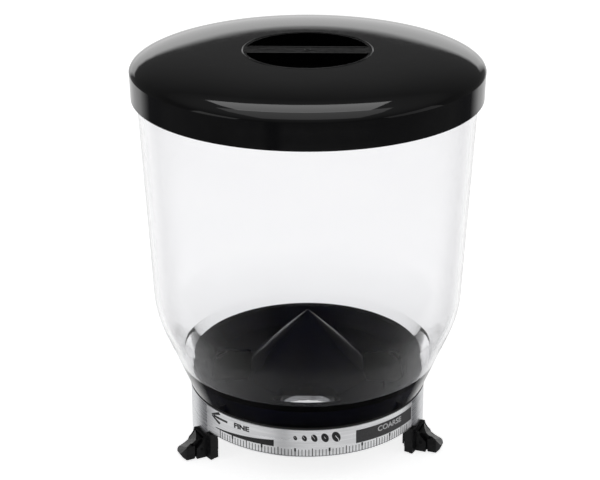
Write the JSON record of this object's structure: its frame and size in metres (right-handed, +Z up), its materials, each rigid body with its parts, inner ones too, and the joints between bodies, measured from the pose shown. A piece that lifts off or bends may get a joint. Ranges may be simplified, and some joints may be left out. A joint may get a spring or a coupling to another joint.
{
  "type": "coffee grinder hopper and adjusting ring",
  "caption": "Lidded clear bean hopper on a coffee grinder's adjusting ring, with a funnel, a burr carrier, an upper burr and sprung lock levers.",
  "frame": {"origin": "centre of the face the adjusting ring stands on, on the hopper's axis", "axes": "+Z up along the hopper's axis, -Y through the middle of the grind scale, +X to the right seen from the scale"},
  "size_m": [0.23, 0.23, 0.2733],
  "materials": {
    "gloss_black": "polished moulding",
    "clear": "clear polycarbonate, polished",
    "funnel_navy": "glossy moulding",
    "black_rubber": "matte",
    "cast_aluminium": "satin, fine turned",
    "label_aluminium": "brushed, printed",
    "carrier_aluminium": "machined casting",
    "burr_steel": "ground",
    "screw_steel": "plated",
    "lever_black": "semi-gloss moulding"
  },
  "bodies": {
    "ring_and_hopper": {"hopper_shell": "clear", "funnel_insert": "funnel_navy", "deflector_cone": "funnel_navy", "hopper_gasket": "black_rubber", "adjusting_ring": "cast_aluminium", "scale_label": "label_aluminium", "burr_carrier": "carrier_aluminium", "carrier_o_ring": "black_rubber", "upper_burr": "burr_steel", "burr_screws": "screw_steel", "carrier_screws": "screw_steel", "hopper_lock_screws": "screw_steel", "lever_bracket_left": "lever_black", "lever_bracket_right": "lever_black", "bracket_screws": "screw_steel", "lever_pin_left": "screw_steel", "lever_pin_right": "screw_steel", "lever_spring_left": "screw_steel", "lever_spring_right": "screw_steel"},
    "lid": {"lid": "gloss_black", "lid_seal": "black_rubber", "grip_well": "gloss_black"},
    "lever_left": {"lever_left": "lever_black"},
    "lever_right": {"lever_right": "lever_black"}
  },
  "joints": [
    {"name": "lid_lift", "type": "slide", "parent": "ring_and_hopper", "child": "lid", "axis": [0, 0, 1], "range_m": [0, 0.06]},
    {"name": "lever_left_press", "type": "hinge", "parent": "ring_and_hopper", "child": "lever_left", "pos_m": [-0.07898, -0.03352, 0.0075], "axis": [0.3907, -0.9205, 0], "range_deg": [0, 8], "stiffness_Nm_per_rad": 0.4, "springref_deg": -14.32, "deforming": ["lever_spring_left"]},
    {"name": "lever_right_press", "type": "hinge", "parent": "ring_and_hopper", "child": "lever_right", "pos_m": [0.07898, -0.03352, 0.0075], "axis": [0.3907, 0.9205, 0], "range_deg": [0, 8], "stiffness_Nm_per_rad": 0.4, "springref_deg": -14.32, "deforming": ["lever_spring_right"]}
  ]
}
